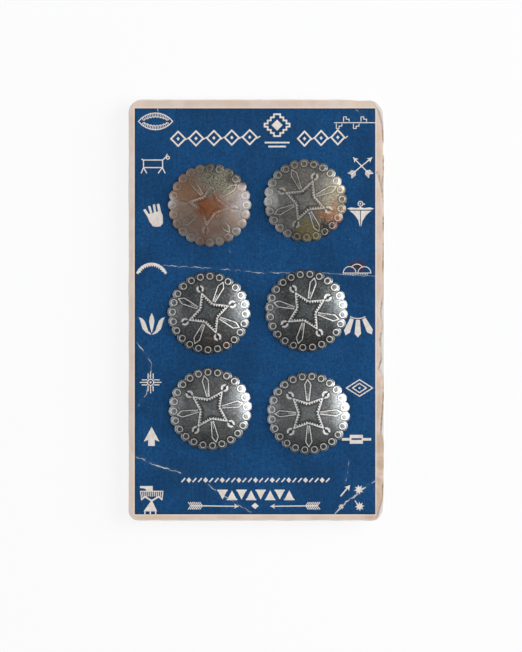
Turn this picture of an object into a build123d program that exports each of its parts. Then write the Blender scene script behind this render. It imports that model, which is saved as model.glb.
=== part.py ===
"""A card of six domed metal buttons, lying face up on its six shank loops.

The card lies in the XY plane with its long side along Y, and its printed face looks up along +Z.
The origin is under the middle of the card, on the surface that the shank loops rest on.
Each button is a scalloped, domed cap of sheet metal with a strap loop soldered inside it. The loop
passes through a slot in the card, and a split keeper pin through the loop holds the button on.
All lengths are in millimetres and all angles in degrees.
"""

import os
from math import asin, atan2, cos, degrees, hypot, radians, sin, sqrt

from build123d import *

os.makedirs("parts", exist_ok=True)

# Card board
card_width = 78.0
card_height = 128.2
card_thickness = 1.2
right_edge_bow = 0.25
edge_wear = 0.2
corner_top_left = 4.2
corner_top_right = 4.4
corner_bottom_left = 3.2
corner_bottom_right = 3.8

# Printed field on the face of the card, by its bare margins
print_thickness = 0.1
margin_left = 1.95
margin_right = 2.95
margin_top = 2.8
margin_bottom = 2.0

# Button cap
button_diameter = 25.4
dome_radius = 26.0
sheet_thickness = 0.8
rim_edge = 0.3
lobe_count = 24
lobe_phase = 8.5
lobe_radius = 1.65
lobe_chords = 6

# Shank loop, a strap of sheet bent to a U and soldered inside the cap
strap_thickness = 1.0
strap_width = 1.8
eye_radius = 1.3

# Keeper pin, a flat wire folded to a hairpin with a round head
pin_wire = 0.7
pin_height = 0.9
pin_leg_gap = 0.5
pin_leg_length = 7.4
pin_tip_length = 2.4
pin_splay = 14.0
pin_head_eye = 1.1
pin_head_offset = 4.6

# Clearances
slot_clearance = 0.3
pin_clearance = 0.1
card_clearance = 0.1

# Places of the buttons: the pitch of the rows and columns, and how far each one drifts from it
column_pitch = 29.4
row_pitch = 31.8
buttons = {
    "top_left": {"column": -1, "row": 1, "drift": (0.4, 0.1), "turn": 36.5},
    "top_right": {"column": 1, "row": 1, "drift": (0.1, 1.5), "turn": 23.5},
    "middle_left": {"column": -1, "row": 0, "drift": (0.2, -0.9), "turn": -25.0},
    "middle_right": {"column": 1, "row": 0, "drift": (0.4, -0.25), "turn": -14.0},
    "bottom_left": {"column": -1, "row": -1, "drift": (0.6, 1.75), "turn": 10.0},
    "bottom_right": {"column": 1, "row": -1, "drift": (1.0, 0.45), "turn": 1.0},
}

# Heights that follow from the sizes above, with the bottom of the loops at zero
eye_height = strap_thickness + eye_radius
pin_half_span = pin_leg_gap / 2 + pin_wire
pin_bottom = eye_height - sqrt(eye_radius**2 - pin_half_span**2) + pin_clearance
card_back = pin_bottom + pin_height + card_clearance
card_face = card_back + card_thickness
print_face = card_face + print_thickness

# Dome sizes that follow, with the cap's flat rim at zero in its own frame
button_radius = button_diameter / 2
dome_rise = dome_radius - sqrt(dome_radius**2 - button_radius**2)
dome_centre = rim_edge + dome_rise - dome_radius
loop_outer_radius = eye_radius + strap_thickness


def button_centre(button):
    """The place of a button's axis on the card."""
    drift_x, drift_y = button["drift"]
    return (
        button["column"] * column_pitch / 2 + drift_x,
        button["row"] * row_pitch + drift_y,
    )


def scalloped_outline():
    """The cap seen from above: a ring of round lobes that meet in sharp valleys.

    Each lobe's arc is drawn as a few chords, at most 0.04 mm inside the true arc.
    """
    lobe_ring = button_radius - lobe_radius
    half_pitch = radians(180 / lobe_count)
    valley = lobe_ring * cos(half_pitch) + sqrt(lobe_radius**2 - (lobe_ring * sin(half_pitch)) ** 2)
    half_sweep = atan2(valley * sin(half_pitch), valley * cos(half_pitch) - lobe_ring)
    points = []
    for lobe in range(lobe_count):
        axis = radians(lobe_phase + 360 * lobe / lobe_count)
        for chord in range(lobe_chords):
            swing = axis - half_sweep + 2 * half_sweep * chord / lobe_chords
            points.append(
                (
                    lobe_ring * cos(axis) + lobe_radius * cos(swing),
                    lobe_ring * sin(axis) + lobe_radius * sin(swing),
                )
            )
    return make_face(Polyline(*points, close=True))


def ball(radius):
    """A ball about the dome's centre, turned so that its poles lie outside the cap."""
    return Pos(0, 0, dome_centre) * Rot(90, 0, 0) * Sphere(radius)


def make_cap():
    """The stamped cap: sheet of one thickness, domed, with its rim rubbed level at the back."""
    blank = extrude(scalloped_outline(), amount=rim_edge + dome_rise)
    return (blank & ball(dome_radius)) - ball(dome_radius - sheet_thickness)


def make_loop():
    """The shank loop, standing on its bend, with both legs cut to the inside of the dome."""
    leg_top = print_face - eye_height + rim_edge + dome_rise
    bend = Circle(loop_outer_radius) + Pos(0, leg_top / 2) * Rectangle(2 * loop_outer_radius, leg_top)
    eye = Circle(eye_radius) + Pos(0, leg_top / 2) * Rectangle(2 * eye_radius, leg_top)
    strap = Plane.XZ * (bend - eye)
    loop = Pos(0, 0, eye_height) * extrude(strap, amount=strap_width / 2, both=True)
    return loop & (Pos(0, 0, print_face) * ball(dome_radius - sheet_thickness))


def make_pin():
    """The keeper pin: a round head, two close legs through the loop, and tips that splay."""
    head_radius = pin_head_eye + pin_wire
    head_y = pin_head_offset + head_radius
    leg_x = (pin_leg_gap + pin_wire) / 2
    flat = Pos(0, head_y) * (Circle(head_radius) - Circle(pin_head_eye))
    flat -= Pos(0, head_y - head_radius) * Rectangle(pin_leg_gap, 2 * pin_wire + pin_leg_gap)
    leg_start = head_y - sqrt(pin_head_eye**2 - leg_x**2)
    leg_end = leg_start - pin_leg_length
    for side in (-1, 1):
        tip_x = leg_x + pin_tip_length * sin(radians(pin_splay))
        tip_y = leg_end - pin_tip_length * cos(radians(pin_splay))
        inner = leg_x - pin_wire / 2
        outer = leg_x + pin_wire / 2
        reach = tip_x - leg_x
        leg = Polyline(
            (side * inner, leg_start),
            (side * outer, leg_start),
            (side * outer, leg_end),
            (side * (outer + reach), tip_y),
            (side * (inner + reach), tip_y),
            (side * inner, leg_end),
            close=True,
        )
        flat += make_face(leg)
    return Pos(0, 0, pin_bottom) * extrude(flat, amount=pin_height)


def shank_slots(height, base):
    """The slots that the shank loops pass through, cut with some play all round."""
    slot = Box(
        2 * (loop_outer_radius + slot_clearance),
        strap_width + 2 * slot_clearance,
        height,
        align=(Align.CENTER, Align.CENTER, Align.MIN),
    )
    return [Pos(*button_centre(button), base) * slot for button in buttons.values()]


def make_card():
    """The board: worn round corners, a right edge that bows a little, and a soft front edge."""
    half_width = card_width / 2
    half_height = card_height / 2
    top_left = (-half_width, half_height)
    top_right = (half_width - right_edge_bow, half_height)
    bottom_right = (half_width - right_edge_bow, -half_height)
    bottom_left = (-half_width, -half_height)
    right_edge = ThreePointArc(top_right, (half_width, 0), bottom_right)
    outline = Polyline(bottom_right, bottom_left, top_left, top_right) + right_edge
    face = make_face(outline)
    corners = {
        top_left: corner_top_left,
        top_right: corner_top_right,
        bottom_left: corner_bottom_left,
        bottom_right: corner_bottom_right,
    }
    for place, radius in corners.items():
        corner = min(face.vertices(), key=lambda v: hypot(v.X - place[0], v.Y - place[1]))
        face = fillet(corner, radius)
    board = Pos(0, 0, card_back) * extrude(face, amount=card_thickness)
    front_edges = board.faces().sort_by(Axis.Z)[-1].outer_wire().edges()
    board = chamfer(front_edges, edge_wear)
    return board - shank_slots(card_thickness, card_back)


def make_print():
    """The printed field, a skin on the board inside its bare margins."""
    width = card_width - margin_left - margin_right
    height = card_height - margin_top - margin_bottom
    centre = ((margin_left - margin_right) / 2, (margin_bottom - margin_top) / 2)
    field = Box(width, height, print_thickness, align=(Align.CENTER, Align.CENTER, Align.MIN))
    return Pos(*centre, card_face) * field - shank_slots(print_thickness, card_face)


def one_solid(shape):
    """The single solid that a shape holds."""
    (solid,) = shape.solids()
    return solid


def save(shape, name):
    """Write one piece to its own file."""
    export_step(one_solid(shape), f"parts/{name}.step")


cap = make_cap()
loop = make_loop()
pin = make_pin()

save(make_card(), "card")
save(make_print(), "print_field")
for position, button in buttons.items():
    place = Pos(*button_centre(button), 0)
    save(place * Pos(0, 0, print_face) * Rot(0, 0, button["turn"]) * cap, f"button_disc_{position}")
    save(place * loop, f"shank_loop_{position}")
    save(place * pin, f"keeper_pin_{position}")
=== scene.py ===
"""The looks of a worn display card that holds six stamped metal buttons.

Sizes are in millimetres and angles in degrees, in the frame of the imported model: +X is to the right of
the printed face, +Y is up it and +Z is out of it. Lengths become metres where Blender is given them.
"""

import logging
from collections.abc import Callable, Sequence
from dataclasses import dataclass, field
from enum import Enum
from math import pi

import bpy
import numpy as np
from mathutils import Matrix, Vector
from mathutils.geometry import delaunay_2d_cdt


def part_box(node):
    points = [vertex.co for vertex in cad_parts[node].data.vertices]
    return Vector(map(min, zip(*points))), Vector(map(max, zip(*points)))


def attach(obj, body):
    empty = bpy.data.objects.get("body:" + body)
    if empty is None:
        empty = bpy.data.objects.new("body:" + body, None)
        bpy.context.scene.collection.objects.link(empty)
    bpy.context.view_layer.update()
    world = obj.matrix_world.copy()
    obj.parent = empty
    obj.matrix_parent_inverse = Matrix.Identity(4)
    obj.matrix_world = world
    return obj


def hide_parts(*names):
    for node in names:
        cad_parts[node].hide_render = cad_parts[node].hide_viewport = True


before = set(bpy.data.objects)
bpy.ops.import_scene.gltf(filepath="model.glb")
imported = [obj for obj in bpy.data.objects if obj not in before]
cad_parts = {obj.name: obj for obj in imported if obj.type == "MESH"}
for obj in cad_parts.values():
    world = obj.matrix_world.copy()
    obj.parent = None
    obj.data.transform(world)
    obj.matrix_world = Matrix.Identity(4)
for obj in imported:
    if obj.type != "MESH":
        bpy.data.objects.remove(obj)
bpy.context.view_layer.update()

log = logging.getLogger("card_of_buttons")

MM = 0.001
SHARP_ANGLE = 50.0
BUTTON_PLACES = ("top_left", "top_right", "middle_left", "middle_right", "bottom_left", "bottom_right")

Array = np.ndarray
Point = tuple[float, float]
Outline = list[Point]
Socket = bpy.types.NodeSocket


def cad_box(node: str) -> tuple[Array, Array]:
    """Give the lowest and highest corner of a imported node, in millimetres."""
    low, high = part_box(node)
    return np.array(low) / MM, np.array(high) / MM


def linear(colour: str) -> tuple[float, float, float, float]:
    """Turn an sRGB hex colour, such as "#1f4b76", into linear red, green, blue and an alpha of 1."""
    srgb = np.array([int(colour[i : i + 2], 16) for i in (1, 3, 5)]) / 255
    light = np.where(srgb <= 0.04045, srgb / 12.92, ((srgb + 0.055) / 1.055) ** 2.4)
    return (*light.tolist(), 1.0)


def direction(azimuth: float, off_vertical: float) -> tuple[float, float, float]:
    """Give the direction at an angle round from +X towards +Y, and at an angle from straight up."""
    a, o = np.radians(azimuth), np.radians(off_vertical)
    return (float(np.sin(o) * np.cos(a)), float(np.sin(o) * np.sin(a)), float(np.cos(o)))


def smooth_step(value: Array, low: float, high: float) -> Array:
    """Rise from 0 at low to 1 at high along 3t^2 - 2t^3."""
    t = np.clip((value - low) / (high - low), 0.0, 1.0)
    return t * t * (3 - 2 * t)


def bell(distance: Array, width: float, power: int = 2) -> Array:
    """Fall off on both sides of zero as exp of minus (distance / width)^power."""
    return np.exp(-((distance / width) ** power))


def ripple(x: Array, y: Array, length: float, seed: int, waves: int = 7) -> Array:
    """Give a smooth uneven field: a sum of plane waves with seeded directions and phases.

    Args:
        x: Places along X.
        y: Places along Y.
        length: The typical wavelength.
        seed: What fixes the directions, lengths and phases.
        waves: How many waves are added.

    Returns:
        The field, mostly between -1 and 1.
    """
    rng = np.random.default_rng(seed)
    angle = rng.uniform(0, 2 * pi, waves)
    wave_number = 2 * pi / (length * rng.uniform(0.6, 1.7, waves))
    phase = rng.uniform(0, 2 * pi, waves)
    total = np.zeros(np.broadcast(x, y).shape)
    for a, k, p in zip(angle, wave_number, phase):
        total = total + np.sin(k * (np.cos(a) * x + np.sin(a) * y) + p)
    return total / np.sqrt(waves)


def to_run(x: Array, y: Array, start: Point, end: Point) -> Array:
    """Give the distance of places to the straight run between two points."""
    run = np.subtract(end, start)
    t = np.clip(((x - start[0]) * run[0] + (y - start[1]) * run[1]) / (run @ run), 0, 1)
    return np.hypot(x - start[0] - t * run[0], y - start[1] - t * run[1])


def build_object(
    name: str, points: Array, loops: Array, sizes: Array, attributes: dict[str, Array] | None = None
) -> bpy.types.Object:
    """Put computed arrays into a mesh object at the origin.

    Args:
        name: The object's name.
        points: One row of x, y, z for each vertex.
        loops: The vertex numbers of all faces, one face after another.
        sizes: How many corners each face has.
        attributes: Vertex values by attribute name.

    Returns:
        The new object, smooth shaded except across sharp edges, and linked to the scene.
    """
    mesh = bpy.data.meshes.new(name)
    mesh.vertices.add(len(points))
    mesh.vertices.foreach_set("co", (points * MM).astype(np.float32).ravel())
    mesh.loops.add(len(loops))
    mesh.loops.foreach_set("vertex_index", loops.astype(np.int32))
    mesh.polygons.add(len(sizes))
    mesh.polygons.foreach_set("loop_start", (np.cumsum(sizes) - sizes).astype(np.int32))
    mesh.polygons.foreach_set("use_smooth", np.ones(len(sizes), dtype=bool))
    mesh.update(calc_edges=True)
    mesh.validate()
    mesh.set_sharp_from_angle(angle=float(np.radians(SHARP_ANGLE)))
    for label, values in (attributes or {}).items():
        layer = mesh.attributes.new(label, "FLOAT", "POINT")
        layer.data.foreach_set("value", values.astype(np.float32).ravel())
    made = bpy.data.objects.new(name, mesh)
    bpy.context.scene.collection.objects.link(made)
    log.info("%s: %d vertices, %d faces", name, len(points), len(sizes))
    return made


def add(
    tree: bpy.types.NodeTree, kind: str, inputs: dict | None = None, out: int | str = 0, **settings
) -> Socket | bpy.types.Node:
    """Add one shader node.

    Args:
        tree: The node tree that gets it.
        kind: The node's type without the word ShaderNode.
        inputs: A socket to link from, or a value, for each input by name or number.
        out: Which output to give back.
        **settings: The node's own settings.

    Returns:
        The output socket, or the node itself where it has none.
    """
    made = tree.nodes.new("ShaderNode" + kind)
    for label, value in settings.items():
        setattr(made, label, value)
    for label, value in (inputs or {}).items():
        socket = made.inputs[label]
        if isinstance(value, Socket):
            tree.links.new(value, socket)
        else:
            socket.default_value = value
    return made.outputs[out] if len(made.outputs) else made


class Maths(Enum):
    """The ways in which a recipe combines two numbers."""

    PLUS = "ADD"
    LESS = "SUBTRACT"
    TIMES = "MULTIPLY"
    LARGER = "MAXIMUM"


class Recipe:
    """A material while it is being put together from shader nodes."""

    def __init__(self, name: str) -> None:
        """Start an empty material with a name."""
        self.material = bpy.data.materials.new(name)
        self.material.use_nodes = True
        self.tree = self.material.node_tree
        self.tree.nodes.clear()
        self.place = add(self.tree, "TexCoord", out="Object")

    def noise(
        self, size: float, detail: float = 3.0, stretch: tuple = (1, 1, 1), shift: float = 0.0
    ) -> Socket:
        """Give a noise value from 0 to 1.

        Args:
            size: The size of its blots in millimetres.
            detail: How many finer octaves it has.
            stretch: How much longer the blots are along each axis.
            shift: How far the pattern is moved, so that two of them differ.

        Returns:
            The value's socket.
        """
        scale = tuple(1 / s for s in stretch)
        mapped = add(self.tree, "Mapping", {"Vector": self.place, "Location": (shift,) * 3, "Scale": scale})
        settings = {"Vector": mapped, "Scale": 1 / (size * MM), "Detail": detail}
        return add(self.tree, "TexNoise", settings)

    def ramp(self, value: Socket, low: float, high: float, start: float = 0.0, end: float = 1.0) -> Socket:
        """Map a value from low..high to start..end with soft ends, and clamp it."""
        settings = {"Value": value, "From Min": low, "From Max": high, "To Min": start, "To Max": end}
        return add(self.tree, "MapRange", settings, interpolation_type="SMOOTHSTEP")

    def blots(
        self, size: float, low: float, high: float, start: float = 0.0, end: float = 1.0, **noise
    ) -> Socket:
        """Give noise blots of a size, mapped as `ramp` does, with `noise`'s other settings."""
        return self.ramp(self.noise(size, **noise), low, high, start, end)

    def maths(self, operation: Maths, first: Socket | float, second: Socket | float) -> Socket:
        """Combine two numbers."""
        return add(self.tree, "Math", {0: first, 1: second}, operation=operation.value)

    def blend(self, amount: Socket | float, base: Socket | str, top: Socket | str) -> Socket:
        """Lay a top colour over a base colour by an amount from 0 to 1; both may be hex colours."""
        lower, upper = (linear(c) if isinstance(c, str) else c for c in (base, top))
        return add(self.tree, "Mix", {0: amount, 6: lower, 7: upper}, out=2, data_type="RGBA")

    def attribute(self, name: str) -> Socket:
        """Read a number that the mesh carries."""
        return add(self.tree, "Attribute", out="Fac", attribute_name=name)

    def bump(self, height: Socket, depth: float, below: Socket | None = None) -> Socket:
        """Turn a height from 0 to 1 into a bump of a depth in millimetres, on top of another bump."""
        inputs = {"Height": height, "Strength": 1.0, "Distance": depth * MM}
        if below is not None:
            inputs["Normal"] = below
        return add(self.tree, "Bump", inputs)

    def finish(self, **inputs) -> bpy.types.Material:
        """Close the material with a Principled shader, whose inputs are named with _ for a space."""
        settings = {label.replace("_", " "): value for label, value in inputs.items()}
        shader = add(self.tree, "BsdfPrincipled", settings)
        add(self.tree, "OutputMaterial", {"Surface": shader})
        return self.material


@dataclass(frozen=True)
class Scuff:
    """One crease or scratch on the card.

    Attributes:
        name: What it is.
        path: The points that it follows.
        spread: How far the ink is rubbed beside it.
        crack: The width of the bare line along it, or 0 for none.
        dent: How deep it lies below the face.
        strength: How thoroughly the ink beside it is rubbed off, from 0 to 1.
        broken: How much of the bare line is missing, from 0 to 1.
    """

    name: str
    path: tuple[Point, ...]
    spread: float
    crack: float
    dent: float
    strength: float = 1.0
    broken: float = 0.3

    def distance(self, x: Array, y: Array) -> Array:
        """Give the distance of places to the path: the least over its straight runs."""
        nearest = np.full(np.broadcast(x, y).shape, 1e9)
        for start, end in zip(self.path, self.path[1:]):
            nearest = np.minimum(nearest, to_run(x, y, start, end))
        return nearest


SCUFFS = (
    Scuff(
        "long_crease",
        ((-28.5, 13.6), (-22, 13.2), (-12.3, 12.6), (-3.6, 11.9), (1, 11.2), (8.9, 11.4), (23.2, 11.1),
         (36.1, 10.2)),
        0.45, 0.11, 0.03, 0.4, 0.2,
    ),
    Scuff(
        "left_bend",
        ((-36.5, -10), (-35.1, -11.6), (-33.7, -13.3), (-32.6, -15.2), (-31.9, -16.7), (-32.2, -18.2),
         (-32.7, -21.9), (-33.4, -25.4), (-34.5, -27), (-36.1, -29.3)),
        0.5, 0.2, 0.05, 0.5, 0.35,
    ),
    Scuff(
        "lower_left_crease",
        ((-36.8, -44.7), (-34.8, -45.2), (-32, -46.7), (-29.6, -47.5), (-25, -48.9), (-22.8, -49.7)),
        0.6, 0.26, 0.05, 0.6, 0.2,
    ),
    Scuff(
        "lower_left_crease_end",
        ((-14.7, -52.8), (-13.3, -54.3), (-7.4, -58.1), (-3.6, -60.4), (-1.4, -61.6)),
        0.5, 0.14, 0.03, 0.5, 0.4,
    ),
    Scuff(
        "lower_right_crease",
        ((36.1, -52), (34.3, -53), (32.3, -54.3), (30.2, -56.4), (27.9, -57.8), (25.9, -59.6), (23.6, -62.2)),
        0.5, 0.36, 0.06, 0.6, 0.15,
    ),
    Scuff("top_right_scratch", ((30.2, 60.9), (31.4, 59.9), (32.6, 58.7)), 0.4, 0.2, 0.03, 0.6),
    Scuff("top_left_nick", ((-30.2, 61.2), (-29.9, 60.2)), 0.3, 0.16, 0.02, 0.5),
    Scuff("middle_nick", ((-8.6, 19.0), (-7.8, 17.4)), 0.3, 0.12, 0.02, 0.5),
    Scuff("right_scratch", ((28.2, -45.6), (27.6, -48.8), (27.1, -52.3)), 0.4, 0.1, 0.02, 0.4, 0.5),
)

BORDER_FOLD = Scuff(
    "border_fold",
    ((35.8, 62.3), (37.1, 60.3), (38.1, 56.2), (38.5, 50.8), (38.5, 42.6), (38.1, 38.0), (38.4, 35.0),
     (38.5, 31.4), (38.4, 16.7), (38.3, 9.7), (38.4, 5.8), (37.6, -0.9), (38.2, -5.1), (37.5, -8.5),
     (37.8, -15.2), (37.1, -17.6), (38.4, -20.3), (38.5, -25.2), (38.3, -28.9), (37.8, -35.5), (37.6, -37.4),
     (38.5, -40.0), (38.4, -51.7), (38.2, -57.2), (36.6, -62.8)),
    0.5, 0.0, 0.07,
)
BORDER_NICK = Scuff("border_nick", ((36.3, 41.9), (37.0, 41.3), (37.7, 38.2), (38.3, 34.6)), 0.5, 0.0, 0.06)


def relief(x: Array, y: Array) -> Array:
    """Give the card face's height above its plane: a slow waviness, less a soft groove at each crease."""
    waviness, crease_width = 0.012, 0.45
    height = waviness * ripple(x, y, 26.0, seed=3) - waviness
    for scuff in (*SCUFFS, BORDER_FOLD, BORDER_NICK):
        height = height - scuff.dent * bell(scuff.distance(x, y), crease_width)
    return height


def rubbed(x: Array, y: Array) -> Array:
    """Give how far the ink is rubbed off, from 0 to 1: the most that any crease does at a place."""
    wear = np.zeros(np.broadcast(x, y).shape)
    for scuff in SCUFFS:
        wear = np.maximum(wear, scuff.strength * bell(scuff.distance(x, y), scuff.spread))
    return wear


def merged_lines(low: float, high: float, step: float, wanted: Sequence[float]) -> Array:
    """Space grid lines evenly and keep the wanted ones exact.

    Args:
        low: The first line.
        high: The last line.
        step: The spacing between even lines.
        wanted: Lines that have to be there.

    Returns:
        All lines in order, with no even one closer than 0.35 of a step to a wanted one.
    """
    keep = np.unique(np.concatenate([[low, high], np.asarray(wanted, dtype=float)]))
    even = np.linspace(low, high, int(round((high - low) / step)) + 1)
    free = np.abs(even[:, None] - keep[None, :]).min(axis=1) > 0.35 * step
    return np.sort(np.concatenate([keep, even[free]]))


def slab(x: Array, y: Array, top: Array, bottom: Array, kept: Array) -> tuple[Array, Array, Array]:
    """Close a grid of cells into a solid sheet with windows where cells are left out.

    Both faces are the kept cells, and a wall stands on every side of a kept cell that has no kept
    neighbour.

    Args:
        x: X of each grid corner, as rows by columns.
        y: Y of each grid corner.
        top: Z of the upper face at each corner.
        bottom: Z of the lower face at each corner.
        kept: Which cells are there, with one row and one column less.

    Returns:
        The points, the loops and the face sizes of the closed mesh.
    """
    rows, columns = x.shape
    number = np.arange(rows * columns).reshape(rows, columns)
    corners = (number[:-1, :-1], number[:-1, 1:], number[1:, 1:], number[1:, :-1])
    upper = np.stack([c[kept] for c in corners], axis=1)
    faces = [upper, upper[:, ::-1] + rows * columns]
    border = np.pad(kept, 1)
    neighbours = (border[:-2, 1:-1], border[1:-1, 2:], border[2:, 1:-1], border[1:-1, :-2])
    for side, neighbour in enumerate(neighbours):
        edge = kept & ~neighbour
        start, end = corners[side][edge], corners[(side + 1) % 4][edge]
        faces.append(np.stack([start, start + rows * columns, end + rows * columns, end], axis=1))
    quads = np.concatenate(faces)
    points = np.vstack([np.column_stack([x.ravel(), y.ravel(), z.ravel()]) for z in (top, bottom)])
    used, loops = np.unique(quads, return_inverse=True)
    return points[used], loops.ravel(), np.full(len(quads), 4)


@dataclass
class CardSheet:
    """The board with its bare border, and the printed field on its face.

    Attributes:
        corner_radius: The radius of each worn corner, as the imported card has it.
        edge_bow: How far the right edge bows out in its middle.
        inset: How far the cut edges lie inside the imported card's, on average.
        ragged: How far the long edges and the short edges wander from that.
        corner_fall: How far the top edge sinks more towards its right corner.
        face_round: The radius of the front edges.
        back_round: The radius of the back edges.
        board_step: The spacing of the board's grid.
        print_step: The spacing of the printed field's grid.
        feather: How far from its edges the printed skin thins out.
        least_print: How much of its thickness is left at its very edges.
        slot_half: Half the width and half the height of a slot.
    """

    corner_radius: dict[str, float] = field(
        default_factory=lambda: {"top_left": 4.2, "top_right": 4.4, "bottom_left": 3.2, "bottom_right": 3.8}
    )
    edge_bow: float = 0.25
    inset: float = 0.1
    ragged: Point = (0.05, 0.04)
    corner_fall: float = 0.4
    face_round: float = 0.24
    back_round: float = 0.14
    board_step: float = 0.8
    print_step: float = 0.6
    feather: float = 0.45
    least_print: float = 0.12
    slot_half: Point = (2.6, 1.2)

    def __post_init__(self) -> None:
        """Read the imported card's box and the places of the slots."""
        self.low, self.high = cad_box("card")
        self.print_low, self.print_high = cad_box("print_field")
        boxes = [cad_box(f"shank_loop_{place}") for place in BUTTON_PLACES]
        self.slots = [tuple((low + high)[:2] / 2) for low, high in boxes]

    def slot_lines(self, axis: int) -> list[float]:
        """Give the grid lines that the slots' sides need along one axis."""
        return sorted(slot[axis] + side * self.slot_half[axis] for slot in self.slots for side in (-1, 1))

    def windows(self, columns: Array, rows: Array) -> Array:
        """Mark the grid cells that are kept: all but those inside a slot."""
        middle_x, middle_y = ((lines[1:] + lines[:-1]) / 2 for lines in (columns, rows))
        kept = np.ones((len(middle_y), len(middle_x)), dtype=bool)
        for x, y in self.slots:
            across, along = np.abs(middle_x - x) < self.slot_half[0], np.abs(middle_y - y) < self.slot_half[1]
            kept &= ~(along[:, None] & across[None, :])
        return kept

    @staticmethod
    def rounding(to_edge: Array, radius: float) -> Array:
        """Give how far a rounded edge falls: r - sqrt(r^2 - (r - d)^2) at a distance d under r."""
        inside = np.clip(radius - to_edge, 0, radius)
        return radius - np.sqrt(radius**2 - inside**2)

    def side_limit(self, y: Array, side: int) -> Array:
        """Give how far the card reaches to one side at a height: its edge, less its round corners."""
        half_height = self.high[1]
        name = "right" if side > 0 else "left"
        reach = np.full(y.shape, self.high[0])
        if side > 0:
            reach = reach - self.edge_bow * (y / half_height) ** 2
        for end, label in ((1, "top"), (-1, "bottom")):
            reach = reach - self.rounding(half_height - end * y, self.corner_radius[f"{label}_{name}"])
        return reach - self.inset + self.ragged[0] * ripple(y, 0 * y, 9.0, seed=11 + side)

    def into_print(self, x: Array, y: Array) -> Array:
        """Give how far places lie inside the printed field, negative on the bare border."""
        (left, low), (right, high) = self.print_low[:2], self.print_high[:2]
        return np.minimum.reduce([x - left, right - x, y - low, high - y])

    def board(self) -> bpy.types.Object:
        """Build the board: a grid drawn in at its round corners, with soft front and back edges.

        Its lines lie closer together near the edges, in the border and beside the print.
        """
        from_end = np.array([0, 0.03, 0.08, 0.15, 0.26, 0.45, 0.8, 1.3, 1.9, 2.6, 3.4, 4.4])
        from_right = np.concatenate([from_end[:6], np.arange(0.65, 3.3, 0.2)])
        from_left = np.concatenate([from_end[:6], np.arange(0.7, 2.3, 0.25)])
        beside_print = np.array([0.05, 0.3, 0.55])
        half_width, half_height = self.high[0], self.high[1]
        edge_x = [*(half_width - from_right), *(from_left - half_width)]
        edge_y = [*(half_height - from_end), *(from_end - half_height)]
        edge_y += [*(self.print_high[1] + beside_print), *(self.print_low[1] - beside_print)]
        columns = merged_lines(-half_width, half_width, self.board_step, edge_x + self.slot_lines(0))
        rows = merged_lines(-half_height, half_height, self.board_step, edge_y + self.slot_lines(1))
        u, v = np.meshgrid(columns, rows)
        fall = self.inset - self.ragged[1] * ripple(u, 0 * u, 8.0, seed=21)
        fall = fall + self.corner_fall * smooth_step(u, 26, 38) * (v > 0)
        y = v - fall * smooth_step(np.abs(v), half_height - 8, half_height) * np.sign(v)
        right, left = self.side_limit(v, 1), self.side_limit(v, -1)
        pull = smooth_step(np.abs(u), 0.55 * half_width, half_width)
        x = u + np.where(u > 0, (right - half_width) * pull, (half_width - left) * pull)
        to_edge = np.clip(np.minimum.reduce([right - x, x + left, y.max() - y, y - y.min()]), 0, None)
        top = self.high[2] + relief(x, y) - self.rounding(to_edge, self.face_round)
        bottom = self.low[2] + self.rounding(to_edge, self.back_round)
        points, loops, sizes = slab(x, y, top, bottom, self.windows(columns, rows))
        made = build_object("card_board", points, loops, sizes, self.border_wear(points[:, 0], points[:, 1]))
        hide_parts("card")
        return made

    def border_wear(self, x: Array, y: Array) -> dict[str, Array]:
        """Work out how the bare border has worn.

        The fold is a narrow dark bell that swells and shrinks along it and is full in a few places.
        The band outside it, the card's outer edges and a thin line beside the print are pale.

        Args:
            x: Places along X.
            y: Places along Y.

        Returns:
            The fold's darkness and the paleness of the edges, from 0 to 1, by attribute name.
        """
        fold_x, fold_y = np.array(BORDER_FOLD.path)[::-1].T
        beyond = x - np.interp(y, fold_y, fold_x)
        swell = np.clip(0.45 + 0.6 * ripple(y, 0 * y, 7.0, seed=31), 0.05, 1)
        for middle, reach, strength in ((-33, 6, 1.0), (-16, 3, 1.0), (57, 5, 0.8)):
            swell = np.maximum(swell, strength * bell(y - middle, reach))
        dark = swell * bell(BORDER_FOLD.distance(x, y), 0.2)
        dark = np.maximum(dark, 0.8 * bell(BORDER_NICK.distance(x, y), 0.22))
        sides = self.side_limit(y, 1) - x, x + self.side_limit(y, -1)
        outer = 0.75 * (1 - smooth_step(np.minimum.reduce([*sides, self.high[1] - np.abs(y)]), 0.1, 0.6))
        outer = np.maximum(outer, smooth_step(beyond, 0.05, 0.4) * (x > 30))
        beside = 0.6 * bell(-self.into_print(x, y) - 0.25, 0.2)
        return {"fold": dark, "pale": np.maximum(outer, beside) * (1 - dark)}

    def printed_field(self) -> bpy.types.Object:
        """Build the printed skin: it follows the board's relief and thins out at its own edges."""
        (left, low), (right, high) = self.print_low[:2], self.print_high[:2]
        near_edge = np.array([0, 0.12, 0.28, 0.5])
        edge_x = [*(left + near_edge), *(right - near_edge)]
        edge_y = [*(low + near_edge), *(high - near_edge)]
        columns = merged_lines(left, right, self.print_step, edge_x + self.slot_lines(0))
        rows = merged_lines(low, high, self.print_step, edge_y + self.slot_lines(1))
        x, y = np.meshgrid(columns, rows)
        into_board = 0.02
        full = self.print_high[2] - self.print_low[2]
        swell = smooth_step(self.into_print(x, y), 0, self.feather)
        thickness = full * (self.least_print + (1 - self.least_print) * swell)
        bottom = self.print_low[2] + relief(x, y) - into_board
        top = self.print_low[2] + relief(x, y) + thickness
        points, loops, sizes = slab(x, y, top, bottom, self.windows(columns, rows))
        at = points[:, 0], points[:, 1]
        attributes = {"rubbed": rubbed(*at), "rim": 1 - smooth_step(self.into_print(*at), 0.1, 0.5)}
        made = build_object("printed_field", points, loops, sizes, attributes)
        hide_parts("print_field")
        return made

    def face_height(self, x: Array, y: Array) -> Array:
        """Give the height of the printed face at places on it."""
        return self.print_high[2] + relief(x, y)


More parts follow.
